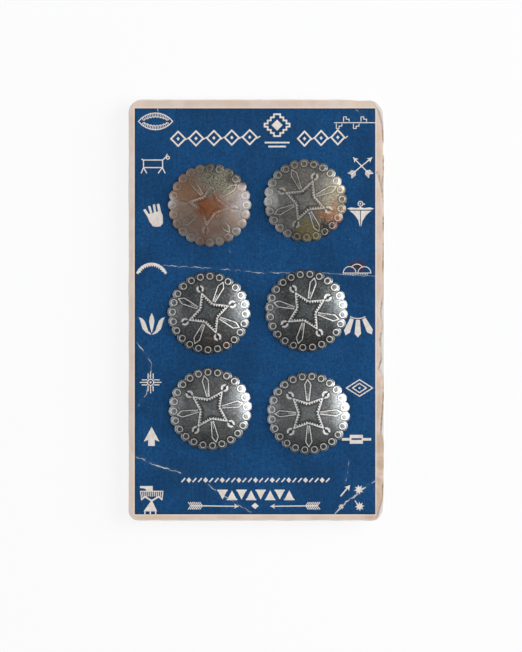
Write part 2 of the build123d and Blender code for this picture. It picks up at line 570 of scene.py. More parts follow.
def arc(centre: Point, radius: float, start: float, end: float) -> Outline:
    """Give points on an arc between two angles, from +X towards +Y: one for about every 12 degrees."""
    turn = np.radians(np.linspace(start, end, max(3, int(abs(end - start) / 12) + 1)))
    x, y = centre[0] + radius * np.cos(turn), centre[1] + radius * np.sin(turn)
    return list(zip(x.tolist(), y.tolist()))


def placed(points: Sequence[Point], at: Point, turn: float = 0.0, size: float = 1.0) -> Outline:
    """Turn a shape drawn at the origin, scale it and move it to its place."""
    a = np.radians(turn)
    spin = np.array([[np.cos(a), np.sin(a)], [-np.sin(a), np.cos(a)]])
    return [tuple(p) for p in (np.array(points) @ spin * size + np.array(at)).tolist()]


def mirrored(points: Sequence[Point], x: float) -> Outline:
    """Mirror a shape left to right about an upright line."""
    return [(2 * x - px, py) for px, py in points]


def rectangle(left: float, low: float, right: float, high: float) -> Outline:
    """Give a rectangle's corners."""
    return [(left, low), (right, low), (right, high), (left, high)]


def diamond(half_width: float, half_height: float, at: Point) -> Outline:
    """Give the corners of a diamond round a place."""
    return placed([(half_width, 0), (0, half_height), (-half_width, 0), (0, -half_height)], at)


def lens(centre: Point, half_width: float, half_height: float) -> Outline:
    """Give the outline of two equal arcs that meet in a point at either side."""
    radius = (half_width**2 + half_height**2) / (2 * half_height)
    reach = np.degrees(np.arcsin(half_width / radius))
    upper = arc((centre[0], centre[1] - radius + half_height), radius, 90 + reach, 90 - reach)
    lower = arc((centre[0], centre[1] + radius - half_height), radius, -90 + reach, -90 - reach)
    return upper + lower[1:-1]


def teeth(path: Sequence[Point], pitch: float, height: float) -> list[Outline]:
    """Stand a row of triangles on a line, on its right-hand side, each 0.9 of the pitch wide."""
    line = np.array(path)
    along = np.concatenate([[0], np.cumsum(np.hypot(*np.diff(line, axis=0).T))])
    starts = np.arange(0.2 * pitch, along[-1] - 0.9 * pitch, pitch)
    first, last = (
        np.stack([np.interp(spot, along, line[:, i]) for i in (0, 1)], axis=1)
        for spot in (starts, starts + 0.9 * pitch)
    )
    run = last - first
    out = np.stack([run[:, 1], -run[:, 0]], axis=1) / np.hypot(run[:, :1], run[:, 1:])
    tip = (first + last) / 2 + height * out
    return [[tuple(p) for p in tooth] for tooth in np.stack([first, last, tip], axis=1).tolist()]


def ribbon(points: Sequence[Point], width: float, closed: bool = False) -> list[Outline]:
    """Turn a line into one long rectangle for each of its straight runs.

    The rectangles reach a third of the width past the run's ends, so that they overlap at bends.

    Args:
        points: The line's points.
        width: Its width.
        closed: Whether it returns to its first point.

    Returns:
        The rectangles.
    """
    line = np.array([*points, points[0]] if closed else points, dtype=float)
    start, end = line[:-1], line[1:]
    run = (end - start) / np.hypot(*(end - start).T)[:, None]
    aside = np.stack([-run[:, 1], run[:, 0]], axis=1) * width / 2
    start, end = start - run * width / 3, end + run * width / 3
    quads = np.stack([start - aside, end - aside, end + aside, start + aside], axis=1)
    return [[tuple(p) for p in quad] for quad in quads.tolist()]


def strokes(width: float, *lines: Sequence[Point]) -> list[Outline]:
    """Turn several open lines into ribbons of one width."""
    return [quad for line in lines for quad in ribbon(line, width)]


def arrow_head(tip: Point, heading: float, length: float, half_width: float) -> Outline:
    """Give an arrow's head with swept-back barbs, pointing along its heading."""
    shape = [(0, 0), (-length, half_width), (-0.72 * length, 0), (-length, -half_width)]
    return placed(shape, tip, heading)


def feather_barbs(
    start: Point, heading: float, length: float, half_width: float, count: int
) -> list[Outline]:
    """Give an arrow's feathers: slanted lines on both sides of the shaft, from its end forwards."""
    barbs = [
        placed([(step, 0), (step - 0.75 * half_width, side * half_width)], start, heading)
        for step in np.linspace(0, length, count)
        for side in (-1, 1)
    ]
    return strokes(0.26, *barbs)


def toothed_eye() -> list[Outline]:
    """Draw a pointed oval with close bars inside it that end on a zigzag line."""
    middle = (-30.75, 57.35)
    shapes = ribbon(lens(middle, 5.2, 2.55), 0.3, closed=True)
    steps = np.linspace(-4.1, 4.1, 17)
    outer = 2.45 * (1 - (steps / 5.2) ** 2)
    inner = 1.35 * (1 - (steps / 4.6) ** 2) + 0.15 * np.cos(np.arange(17) * pi)
    for side in (-1, 1):
        tops = (np.column_stack([steps, side * outer]) + middle).tolist()
        feet = (np.column_stack([0.93 * steps, side * inner]) + middle).tolist()
        shapes += ribbon(feet, 0.22) + strokes(0.2, *zip(tops, feet))
    return shapes


def four_legged_animal() -> list[Outline]:
    """Draw an animal in thin lines: a long box for its body, forked legs and a ring for its head."""
    left, right, back, belly, foot = -34.4, -28.6, 45.6, 43.3, 41.65
    lines = (
        [(left - 0.5, back + 0.25), (left - 0.2, back), (right, back), (-27.55, 46.55)],
        [(left, back), (left, belly), (right, belly), (right, back)],
        [(left - 0.7, foot), (left, belly), (left + 0.95, foot)],
        [(right - 1.3, foot), (right - 0.1, belly), (right + 0.75, foot)],
        [(-27.5, 46.7), (-27.2, 47.35)],
    )
    return strokes(0.33, *lines) + ribbon(arc((-27.0, 46.3), 0.45, 0, 324), 0.3, closed=True)


def open_hand() -> list[Outline]:
    """Draw a hand with its fingers up: a round palm and four tapering fingers."""
    shapes = [
        [(-33.4, 29.0), (-32.6, 26.9), (-31.6, 25.5), (-30.6, 25.3), (-29.3, 25.4), (-28.5, 26.4),
         (-28.6, 28.9), (-29.3, 30.2), (-31.2, 29.6)]
    ]
    for tip, base, width in (
        ((-34.0, 30.3), (-32.9, 28.6), 0.8), ((-32.6, 31.3), (-31.9, 28.9), 0.72),
        ((-31.2, 31.8), (-30.8, 29.0), 0.72), ((-29.95, 31.9), (-29.4, 29.4), 0.85),
    ):
        shapes += [*ribbon([base, tip], width), arc(tip, width / 2, 0, 336)]
    return shapes


def toothed_arch() -> list[Outline]:
    """Draw a low arch with teeth along its inner side."""
    centre = (-31.95, 9.3)
    return ribbon(arc(centre, 4.7, 155, 25), 0.78) + teeth(arc(centre, 4.35, 153, 27), 0.75, 0.5)


def three_leaf_plant() -> list[Outline]:
    """Draw a plant with one upright leaf between two that bend outwards."""
    middle, foot = -31.9, -7.5
    upright = [
        (middle, -0.9), (middle - 0.55, -2.0), (middle - 0.8, -3.4), (middle - 0.45, -5.4), (middle, -7.0),
        (middle + 0.45, -5.4), (middle + 0.8, -3.4), (middle + 0.55, -2.0),
    ]
    bent = [
        (-35.9, -2.2), (-34.9, -2.5), (-34.1, -3.3), (-33.5, -4.8), (-33.0, -6.3),
        (middle - 0.1, foot + 0.15), (middle - 0.3, foot), (-33.6, -6.9), (-34.6, -5.9), (-35.1, -4.4),
        (-35.4, -3.2),
    ]
    return [upright, bent, mirrored(bent, middle)]


def sun_with_rays() -> list[Outline]:
    """Draw a ring with a dot and three straight rays on each of its four sides."""
    centre = (-32.25, -22.0)
    shapes = ribbon(arc(centre, 0.92, 0, 345), 0.3, closed=True) + [arc(centre, 0.32, 0, 330)]
    for turn in (0, 90, 180, 270):
        for aside, length in ((-0.76, 2.6), (0, 3.2), (0.76, 2.6)):
            shapes += ribbon(placed([(1.15, aside), (length, aside)], centre, turn), 0.3)
    return shapes


def spear_point() -> list[Outline]:
    """Draw a barbed spear point with a broad stem."""
    barbs = [(-31.95, -35.5), (-34.35, -40.0), (-32.8, -39.4), (-31.1, -39.4), (-29.55, -40.0)]
    return [barbs, rectangle(-33.0, -41.3, -31.0, -39.0)]


def spread_bird() -> list[Outline]:
    """Draw a bird from the front: a hooked head, a comb of wing feathers and a fan for its tail."""
    left, right, shoulder, wrist = -35.3, -28.5, -55.1, -57.5
    head = [
        (-35.5, -53.5), (-31.6, -53.5), (-31.6, -55.2), (-33.3, -55.2), (-33.9, -54.35), (-34.6, -54.2),
        (-35.5, -54.1),
    ]
    tail = [(-31.9, -57.7), (-34.4, -61.2), (-30.3, -61.2)]
    wings = (
        [(left, shoulder), (right, shoulder)], [(left, shoulder), (-35.0, wrist)],
        [(right, shoulder), (-28.8, wrist)],
    )
    hem = [(-35.0, -57.6), (-34.0, -56.7), (-31.9, -58.0), (-29.8, -56.7), (-28.8, -57.6)]
    places = np.linspace(-34.6, -29.2, 10).tolist()
    comb = [[(x, shoulder), (x, -56.5 - 0.5 * abs(x + 31.9) % 0.4)] for x in places]
    fringe = [[(x, -61.1), (x, -61.9)] for x in (-34.0, -32.35, -30.7)]
    shapes = [head, tail, *strokes(0.3, *wings), *strokes(0.5, hem)]
    return shapes + strokes(0.26, *comb) + strokes(0.4, *fringe)


def stepped_line() -> list[Outline]:
    """Draw a ground line with small flights of steps standing on it and hanging from it."""
    ground = 56.95
    flight = [(0, 0.35), (0, 1.75), (0.85, 1.75), (0.85, 1.05), (1.7, 1.05), (1.7, 0.35)]
    flights = [
        [(x + px, ground + side * py) for px, py in flight]
        for x, side in ((26.4, 1), (31.7, 1), (24.2, -1), (29.4, -1))
    ]
    return ribbon([(23.6, ground), (36.0, ground)], 0.26) + strokes(0.24, *flights)


def crossed_arrows() -> list[Outline]:
    """Draw two feathered arrows that cross."""
    shapes = []
    for tail, tip in (((28.9, 41.3), (35.0, 46.3)), ((34.2, 41.4), (29.4, 46.3))):
        heading = float(np.degrees(np.arctan2(tip[1] - tail[1], tip[0] - tail[0])))
        shapes += [*ribbon([tail, tip], 0.32), arrow_head(tip, heading, 1.35, 0.85)]
        shapes += feather_barbs(tail, heading, 1.3, 0.95, 4)
    return shapes


def winged_ring() -> list[Outline]:
    """Draw a small ring above two spread wings that taper to a point below."""
    middle, ring = 31.55, (31.55, 32.3)
    top = [
        (27.4, 30.85), (28.7, 31.2), (30.3, 31.0), (middle, 31.25), (32.8, 31.0), (34.4, 31.2), (35.7, 30.85),
        (34.8, 30.5), (28.3, 30.5),
    ]
    inner = middle - 0.12
    half = [(28.2, 30.2), (inner, 30.2), (inner, 25.2), (30.9, 27.2), (30.0, 28.6), (29.1, 29.5)]
    shapes = [top, half, mirrored(half, middle), arc(ring, 0.25, 0, 330)]
    shapes += ribbon(arc(ring, 0.72, 0, 340), 0.28, closed=True)
    shapes += ribbon([(middle, 31.0), (middle, 31.6)], 0.4)
    return shapes + ribbon([(middle + 0.7, 32.2), (middle + 1.3, 32.15)], 0.3)


def rain_clouds() -> list[Outline]:
    """Draw three round clouds on a line, with short ticks of rain below it."""
    base, radius = 11.25, 1.95
    clouds = (
        arc((28.25, base), radius, 180, 0), arc((32.75, base), radius, 180, 0),
        arc((30.5, base + 0.75), radius, 150, 30),
    )
    rain = [[(x, base), (x, base - 0.6)] for x in np.linspace(26.5, 33.6, 15).tolist()]
    return ribbon([(26.2, base), (34.8, base)], 0.22) + strokes(0.24, *clouds) + strokes(0.14, *rain)


def three_feathers() -> list[Outline]:
    """Draw three broad feathers that hang from a low arc."""
    feather = [(0.65, 0), (1.0, -4.2), (0.05, -5.4), (-0.95, -4.2), (-0.5, 0)]
    places = ((28.9, -2.6, -21), (30.7, -2.95, 0), (32.5, -2.6, 27))
    feathers = [placed(feather, (x, y), turn) for x, y, turn in places]
    return ribbon(arc((30.7, 2.2), 4.8, 242, 298), 0.28) + feathers


def nested_diamonds() -> list[Outline]:
    """Draw one diamond inside another round a dot."""
    centre = (31.25, -23.7)
    shapes = [arc(centre, 0.3, 0, 330)]
    for wide, high in ((4.0, 2.5), (2.1, 1.4)):
        shapes += ribbon(diamond(wide, high, centre), 0.34, closed=True)
    return shapes


def barred_box() -> list[Outline]:
    """Draw a bar that runs through a box with a slot in it."""
    sides = (
        (25.9, -39.7, 28.5, -38.9), (32.1, -39.7, 34.8, -38.9), (28.3, -38.95, 32.3, -37.95),
        (28.3, -40.65, 32.3, -39.5), (28.3, -40.0, 28.8, -38.5), (31.9, -40.0, 32.3, -38.5),
    )
    return [rectangle(*side) for side in sides]


def arrow_and_plumes() -> list[Outline]:
    """Draw a short arrow, a small star and two ragged plumes."""
    shapes = ribbon([(25.6, -56.5), (27.9, -53.7)], 0.42) + [arrow_head((28.4, -53.2), 50, 1.6, 0.9)]
    ray = [(0.5, 0.38), (1.55, 0), (0.5, -0.38)]
    bursts = ((31.1, -54.6), 10, 1.0), ((31.3, -59.7), -40, 0.95), ((25.7, -59.8), 30, 0.6)
    for centre, turn, size in bursts:
        shapes.append(placed(arc((0, 0), 0.75, 0, 336), centre, turn, size))
        shapes += [placed(ray, centre, turn + angle, size) for angle in range(0, 360, 45)]
    return shapes + ribbon([(29.9, -58.0), (30.8, -59.2)], 0.3)


def long_arrows() -> list[Outline]:
    """Draw the two feathered arrows at the foot, which point at the small diamond between them."""
    tail_y, tip_y = -59.5, -59.65
    shapes = [[(-1.65, -59.55), (-0.5, -60.5), (0.65, -59.55), (-0.5, -58.6)]]
    for tail, tip, heading in ((-20.0, -5.6, 0.0), (18.4, 4.3, 180.0)):
        shapes += ribbon([(tail, tail_y), (tip, tip_y)], 0.32)
        shapes.append(arrow_head((tip, tip_y), heading, 1.25, 0.8))
        shapes += feather_barbs((tail, tail_y), heading, 3.5, 1.05, 7)
    return shapes


def stepped_emblem() -> list[Outline]:
    """Draw the emblem at the head: a stepped diamond round a smaller one, on a short double bar."""
    (x, y), step = (6.2, 56.2), 0.95
    quarter = ((4, 0.5), (3, 0.5), (3, 1.5), (2, 1.5), (2, 2.5), (1, 2.5), (1, 3.5), (0, 3.5))
    shapes = []
    for turn_x, turn_y in ((1, 1), (-1, 1), (-1, -1), (1, -1)):
        shapes += ribbon([(x + turn_x * (px * step), y + turn_y * (py * step)) for px, py in quarter], 0.5)
    ends = [[(side_x, 55.7), (side_x, 56.7)] for side_x in (x - 4 * step, x + 4 * step)]
    shapes += strokes(0.5, *ends) + [diamond(1.7, 1.7, (x, y))]
    return shapes + strokes(0.5, [(2.6, 50.9), (9.8, 50.9)], [(3.7, 49.7), (8.7, 49.7)])


def dash_row() -> list[Outline]:
    """Draw the fine row under the buttons: small lozenges and dashes in turn."""
    shapes = []
    for number, x in enumerate(np.linspace(-22.3, 21.6, 27).tolist()):
        dash = ribbon([(x - 0.45, -52.2), (x + 0.45, -51.2)], 0.42)
        shapes += [diamond(0.75, 0.85, (x, -51.7))] if number % 3 == 1 else dash
    return shapes


def bold_row() -> list[Outline]:
    """Draw the bold row at the foot: upright and hanging triangles in turn."""
    shapes = []
    half_width = 1.45
    for number, x in enumerate(np.linspace(-10.4, 9.9, 8).tolist()):
        high, low = (-54.8, -57.6) if number % 2 else (-57.6, -54.8)
        base = [(x - half_width, low), (x + half_width, low)]
        shapes += [[*base, (x, high)], *ribbon(base, 0.4)]
    return shapes


def lozenge_band(left: float, right: float) -> list[Outline]:
    """Draw a slightly rising row of linked lozenges, each round a dot, between two places along X."""
    rise, middle, half_height = 0.6, 52.3, 2.2
    count = round((right - left) / (2.5 * half_height))
    pitch = (right - left) / count
    shapes = []
    for step in range(count):
        x = left + (step + 0.5) * pitch
        y = middle + rise * ((step + 0.5) / count - 0.5)
        shapes += ribbon(diamond(0.40 * pitch, half_height, (x, y)), 0.5, closed=True)
        shapes.append(diamond(0.5, 0.6, (x, y)))
        shapes += ribbon([(x + 0.42 * pitch, y - 0.3), (x + 0.58 * pitch, y + 0.3)], 0.3)
    return shapes


def head_band_left() -> list[Outline]:
    """Draw the longer band at the head, left of the emblem."""
    return lozenge_band(-26.6, 0.6)


def head_band_right() -> list[Outline]:
    """Draw the shorter band at the head, right of the emblem."""
    return lozenge_band(12.0, 27.2)


FIGURES: tuple[Callable[[], list[Outline]], ...] = (
    toothed_eye, four_legged_animal, open_hand, toothed_arch, three_leaf_plant, sun_with_rays, spear_point,
    spread_bird, stepped_line, crossed_arrows, winged_ring, rain_clouds, three_feathers, nested_diamonds,
    barred_box, arrow_and_plumes, long_arrows, stepped_emblem, dash_row, bold_row, head_band_left,
    head_band_right,
)


def crack_shapes(scuff: Scuff, seed: int) -> list[Outline]:
    """Break the bare line along a crease into ragged pieces.

    The line wanders by a smooth seeded amount, its width swells and shrinks, and it is cut where the
    width runs out.

    Args:
        scuff: The crease.
        seed: What fixes its raggedness.

    Returns:
        One outline for each piece.
    """
    spacing, wander, thinnest, thickest = 0.22, 0.13, 0.2 * scuff.crack, 1.8 * scuff.crack
    path = np.array(scuff.path)
    along = np.concatenate([[0], np.cumsum(np.hypot(*np.diff(path, axis=0).T))])
    spot = np.arange(0, along[-1], spacing)
    x, y = (np.interp(spot, along, path[:, i]) for i in (0, 1))
    run = np.stack([np.gradient(x), np.gradient(y)], axis=1)
    aside = np.stack([-run[:, 1], run[:, 0]], axis=1) / np.hypot(run[:, :1], run[:, 1:])
    middle = np.stack([x, y], axis=1) + aside * (wander * ripple(spot, 0 * spot, 2.2, seed))[:, None]
    width = scuff.crack * (1 - 1.2 * scuff.broken + 0.7 * ripple(spot, 0 * spot, 3.0, seed + 1))
    width = np.clip(width, 0, thickest)
    cuts = np.flatnonzero(np.diff(np.concatenate([[0], (width > thinnest).astype(int), [0]])))
    shapes = []
    for first, last in zip(cuts[::2], cuts[1::2]):
        if last - first > 2:
            half = aside[first:last] * width[first:last, None] / 2
            half[[0, -1]] *= 0.2
            outline = np.concatenate([middle[first:last] - half, (middle[first:last] + half)[::-1]])
            shapes.append([tuple(p) for p in outline.tolist()])
    return shapes


@dataclass
class PrintedFigures:
    """The unprinted figures of the blue field and the bare lines of its creases.

    Attributes:
        sheet: The card that carries them.
        spacing: The distance between the points that follow the card's relief.
        offset: How far inside a figure the first of them lies.
        lift: How far they stand above the print.
        depth: How far they reach into it.
    """

    sheet: CardSheet
    spacing: float = 0.6
    offset: float = 0.31
    lift: float = 0.025
    depth: float = 0.06

    def build(self) -> list[bpy.types.Object]:
        """Build every figure and every crease line as a thin closed plate on the field."""
        paper, core = bare_paper_material(), bare_core_material()
        made = [self.plate(f"figure_{draw.__name__}", draw(), paper) for draw in FIGURES]
        for number, scuff in enumerate(SCUFFS):
            made.append(self.plate(f"crack_{scuff.name}", crack_shapes(scuff, 40 + 3 * number), core))
        return made

    def plate(self, name: str, shapes: list[Outline], paint: bpy.types.Material) -> bpy.types.Object:
        """Join overlapping outlines into one flat plate that follows the field's relief.

        The outlines are triangulated together, with a lattice of extra points inside, and walls
        stand on every side that only one triangle has.

        Args:
            name: The object's name.
            shapes: The outlines.
            paint: Its material.

        Returns:
            The closed plate.
        """
        corners, outlines = [], []
        for shape in shapes:
            dense = self.densely(np.array(shape))
            outlines.append(list(range(len(corners), len(corners) + len(dense))))
            corners += [Vector(p) for p in dense.tolist()]
        low, high = np.min([c[:] for c in corners], axis=0), np.max([c[:] for c in corners], axis=0)
        lines = (np.arange(low[i] + self.offset, high[i], self.spacing) for i in (0, 1))
        lattice = np.stack(np.meshgrid(*lines), axis=-1).reshape(-1, 2)
        corners += [Vector(p) for p in lattice.tolist()]
        flat, _, found, _, _, origins = delaunay_2d_cdt(corners, [], outlines, 1, 1e-4)
        flat = np.array([p[:] for p in flat])
        triangles = np.array([t for t, origin in zip(found, origins) if origin])
        a, b, c = (flat[triangles[:, i]] for i in range(3))
        clockwise = (b - a)[:, 0] * (c - a)[:, 1] < (b - a)[:, 1] * (c - a)[:, 0]
        triangles[clockwise] = triangles[clockwise][:, ::-1]
        used, triangles = np.unique(triangles, return_inverse=True)
        triangles = triangles.reshape(-1, 3)
        flat = flat[used]
        sides = np.concatenate([triangles[:, [0, 1]], triangles[:, [1, 2]], triangles[:, [2, 0]]])
        _, where, count = np.unique(np.sort(sides, axis=1), axis=0, return_inverse=True, return_counts=True)
        start, end = sides[count[where.ravel()] == 1].T
        under = len(flat)
        walls = np.stack([start, start + under, end + under, end], axis=1)
        face = self.sheet.face_height(flat[:, 0], flat[:, 1])
        points = np.vstack([np.column_stack([flat, face + rise]) for rise in (self.lift, -self.depth)])
        loops = np.concatenate([triangles.ravel(), (triangles[:, ::-1] + under).ravel(), walls.ravel()])
        sizes = np.concatenate([np.full(2 * len(triangles), 3), np.full(len(walls), 4)])
        made = build_object(name, points, loops, sizes)
        made.data.materials.append(paint)
        return made

    def densely(self, outline: Array) -> Array:
        """Set extra points on an outline's sides, and turn it anticlockwise."""
        after = np.roll(outline, -1, axis=0)
        if np.sum(outline[:, 0] * after[:, 1] - after[:, 0] * outline[:, 1]) < 0:
            outline = outline[::-1]
            after = np.roll(outline, -1, axis=0)
        pieces = []
        for start, end in zip(outline, after):
            count = int(np.hypot(*(end - start)) / self.spacing) + 1
            pieces.append(start + (end - start) * np.arange(count)[:, None] / count)
        return np.concatenate(pieces)


@dataclass(frozen=True)
class StainOrSheen:
    """One patch of colour on a cap: tarnish, corrosion, a darker patch, or a pale patch on the left rim that
    is a painted highlight.

    Attributes:
        at: Its middle, from the middle of the cap.
        reach: How far out it has faded away.
        colour: Its colour.
        amount: How thoroughly it covers, from 0 to 1.
        roughness: How rough the metal is there.
        pitted: How much of it is pitted, from 0 to 1.
    """

    at: Point
    reach: float
    colour: str
    amount: float = 0.8
    roughness: float = 0.5
    pitted: float = 0.0


@dataclass(frozen=True)
class CapFinish:
    """How one button's metal has aged.

    Attributes:
        patina: The colour of the metal in its open areas.
        cloud: The darker colour that clouds them.
        bright: The colour where the stamping and the rim were rubbed, kept paler than rubbed metal alone as a
            painted highlight of the light that the stamped grooves' walls catch.
        sharpness: How crisp the stamping still is, from 0 to 1.
        metal: How metallic the open areas still are.
        roughness: How rough they are on average.
        flecks: How much of the bare metal shows in fine flecks, from 0 to 1.
        stains_and_sheen: Its patches of tarnish, darker patches, and pale patches on the left rim that are a
            painted highlight.
    """

    patina: str = "#7f8384"
    cloud: str = "#4e5251"
    bright: str = "#eeebe6"
    sharpness: float = 1.0
    metal: float = 0.95
    roughness: float = 0.31
    flecks: float = 0.28
    stains_and_sheen: tuple[StainOrSheen, ...] = ()


FINISHES = {
    "top_left": CapFinish(
        "#9b8779", "#8a7466", "#cbc8c3", sharpness=0.3, metal=0.75, roughness=0.44, flecks=0.08,
        stains_and_sheen=(
            StainOrSheen((-0.5, 0.2), 6.5, "#8f5229", 0.95, 0.45),
            StainOrSheen((-7.0, 4.5), 5.5, "#96683f", 0.6, 0.45),
            # A pale patch on the left rim: a painted highlight of the low light from the left.
            StainOrSheen((-12.4, 1.5), 3.2, "#b9b8b4", 0.75, 0.4),
            StainOrSheen((2.5, 8.6), 9.0, "#83806f", 0.9, 0.5, 0.9),
            StainOrSheen((11.5, 0.0), 7.5, "#6d6e71", 0.75, 0.46),
            StainOrSheen((8.8, 8.8), 5.0, "#3e3b34", 0.85, 0.5, 0.8),
            StainOrSheen((0.5, 12.0), 3.6, "#5a564b", 0.8, 0.5, 0.8),
            StainOrSheen((-2.0, -9.5), 7.5, "#8f6d5d", 0.6, 0.45),
            StainOrSheen((-7.5, -10.5), 5.0, "#a39e96", 0.8, 0.42),
            StainOrSheen((2.0, -13.0), 4.5, "#9f9b92", 0.8, 0.42),
            StainOrSheen((9.5, -9.5), 5.0, "#8f8d8a", 0.8, 0.42),
        ),
    ),
    "top_right": CapFinish(
        "#8b8a85", "#64625d", "#c6c1b6", sharpness=0.8, metal=0.85, roughness=0.36,
        stains_and_sheen=(
            StainOrSheen((9.5, 0.5), 9.0, "#847a62", 0.9, 0.6, 0.3),
            StainOrSheen((8.0, -5.6), 6.5, "#8c5f3b", 0.95, 0.6, 0.2),
            StainOrSheen((1.5, -9.8), 6.0, "#8b7f50", 0.9, 0.5, 0.2),
            StainOrSheen((7.2, -8.8), 4.0, "#232324", 1.0, 0.6, 0.3),
            StainOrSheen((9.8, -7.6), 2.4, "#8a4a34", 0.95, 0.6, 0.3),
            StainOrSheen((12.2, 0.5), 4.5, "#594a31", 0.95, 0.65, 0.2),
            StainOrSheen((-8.0, -8.8), 5.0, "#b5b4b0", 0.6, 0.4),
            # A pale patch on the left rim: a painted highlight of the low light from the left.
            StainOrSheen((-11.8, 0.5), 4.5, "#c4c4c1", 0.7, 0.4),
            StainOrSheen((-1.0, 9.0), 4.5, "#857a6e", 0.5, 0.42),
        ),
    ),
    "middle_left": CapFinish(
        "#777b7c", "#464a4a",
        # The second patch makes the lower part of the cap darker and browner.
        stains_and_sheen=(StainOrSheen((5.2, -9.2), 1.6, "#8a5a2c", 0.8), StainOrSheen((0.0, -8.0), 7.0, "#55483f", 0.5)),
    ),
    # Its patch makes the lower part of the cap darker and browner.
    "middle_right": CapFinish("#75797a", "#4a4e4e", stains_and_sheen=(StainOrSheen((1.0, -9.0), 7.0, "#4c443e", 0.5),)),
    "bottom_left": CapFinish("#8b8e8f", "#5e6060"),
    "bottom_right": CapFinish("#8f9292", "#666868", "#f2f0ec"),
}

TURNS = {
    "top_left": 36.5, "top_right": 23.5, "middle_left": -25.0,
    "middle_right": -14.0, "bottom_left": 10.0, "bottom_right": 1.0,
}


@dataclass
class StampedCap:
    """One domed, scalloped button cap with its stamped ornament.

    The ornament is a four-pointed star with bent, toothed sides, four spear-shaped petals, four split dots
    beyond the star's points and a ring in each lobe of the rim. Its sizes are measured from the cap's
    middle, along a petal's axis or towards a point of the star.

    Attributes:
        place: Which button it is.
        turn: How far it is turned.
        finish: How its metal has aged.
        radius: The reach of the lobes' tops.
        rim_edge: The height of the dome where it meets the rim's cut edge.
        sheet: The thickness of the metal.
        lobes: How many lobes the rim has.
        lobe_radius: The radius of a lobe's circle.
        lobe_phase: The direction of one lobe's middle.
        ring_circle: How far out the middles of the lobes' rings lie.
        ring_radius: The radius of a ring.
        ring_width: The half width of its line.
        star_point: How far out the star's points lie.
        star_mid: How far out its sides bend, on a petal's axis.
        star_band: The height of the teeth on its sides.
        tooth_pitch: The distance between the teeth.
        petal_base: Where a petal's side starts, along and across its axis.
        petal_shoulder: Where the petal is widest.
        petal_tip: Where it ends.
        spine_end: Where the line along its axis ends.
        dot_circle: How far out the middles of the split dots lie.
        dot_radius: The radius of a split dot.
        line_width: The half width of the petals' and the star's lines.
        stamp_depth: The depth of the stamping.
        rub_depth: How far the face's edge is rubbed down.
        lobe_fall: How far the face falls in the valleys between the lobes.
        inset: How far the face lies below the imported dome.
        spokes: How many points each ring of the mesh has.
        face_rings: How many rings the face has.
        crown_rings: How many of them lie within the crown, which has no stamping.
        crown_share: The crown's share of the radius.
    """

    place: str
    turn: float
    finish: CapFinish
    radius: float = 12.7
    rim_edge: float = 0.3
    sheet: float = 0.8
    lobes: int = 24
    lobe_radius: float = 1.65
    lobe_phase: float = 8.5
    ring_circle: float = 11.15
    ring_radius: float = 0.88
    ring_width: float = 0.125
    star_point: float = 6.45
    star_mid: float = 3.05
    star_band: float = 0.75
    tooth_pitch: float = 0.78
    petal_base: Point = (3.8, 0.34)
    petal_shoulder: Point = (8.7, 0.93)
    petal_tip: float = 10.25
    spine_end: float = 6.0
    dot_circle: float = 7.75
    dot_radius: float = 1.15
    line_width: float = 0.15
    stamp_depth: float = 0.055
    rub_depth: float = 0.05
    lobe_fall: float = 0.16
    inset: float = 0.02
    spokes: int = 576
    face_rings: int = 96
    crown_rings: int = 8
    crown_share: float = 0.19

    def __post_init__(self) -> None:
        """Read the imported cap's box and work out its dome."""
        low, high = cad_box(f"button_disc_{self.place}")
        self.centre = (low + high)[:2] / 2
        self.seat = low[2]
        rise = high[2] - low[2] - self.rim_edge
        self.dome_radius = (self.radius**2 + rise**2) / (2 * rise)
        self.dome_centre = self.rim_edge + rise - self.dome_radius
        self.seed = BUTTON_PLACES.index(self.place) * 17 + 5

    def fold(self, angle: Array) -> Array:
        """Bring angles round the rim to the nearest lobe: from minus to plus half a lobe's pitch."""
        pitch = 2 * pi / self.lobes
        return (angle - np.radians(self.lobe_phase) + pitch / 2) % pitch - pitch / 2

    def rim(self, angle: Array) -> Array:
        """Give the scalloped outline's radius: the far side of the nearest lobe's circle."""
        lobe_circle = self.radius - self.lobe_radius
        nearest = self.fold(angle)
        across = lobe_circle * np.sin(nearest)
        return lobe_circle * np.cos(nearest) + np.sqrt(self.lobe_radius**2 - across**2)

    def from_ring(self, reach: Array, angle: Array) -> Array:
        """Give the distance of places to the middle of the nearest lobe's ring."""
        nearest = self.fold(angle)
        return np.hypot(reach * np.cos(nearest) - self.ring_circle, reach * np.sin(nearest))

    def stamping(self, x: Array, y: Array) -> tuple[Array, Array]:
        """Work out the stamped ornament at places on the cap.

        Every line is a groove whose depth falls off as exp of minus (distance / width)^4. The
        ornament repeats in quarters, so places are folded to one petal's axis first.

        Args:
            x: Places along the ornament's own X.
            y: Places along its Y.

        Returns:
            How strongly each place is stamped, from 0 to 1, and how dark dirt makes it.
        """
        reach, angle = np.hypot(x, y), np.arctan2(y, x)
        quarter = (angle + pi / 4) % (pi / 2) - pi / 4
        along, across = reach * np.cos(quarter), np.abs(reach * np.sin(quarter))
        petal = np.minimum(
            to_run(along, across, self.petal_base, self.petal_shoulder),
            to_run(along, across, self.petal_shoulder, (self.petal_tip, 0.0)),
        )
        spine = to_run(along, across, (self.petal_base[0], 0.0), (self.spine_end, 0.0))

        point = self.star_point * np.sqrt(0.5)
        side = np.array([point - self.star_mid, point])
        side = side / np.hypot(*side)
        into_star = across * side[0] - (along - self.star_mid) * side[1]
        on_side = (along - self.star_mid) * side[0] + across * side[1]
        tooth = 1 - np.abs((on_side / self.tooth_pitch) % 1 - 0.5) * 2
        toothed = smooth_step(self.star_band * tooth - into_star, -0.08, 0.12) * (into_star > 0)
        within_star = reach < self.star_point + 0.1
        band = np.maximum(toothed, bell(into_star, self.line_width, 4)) * within_star

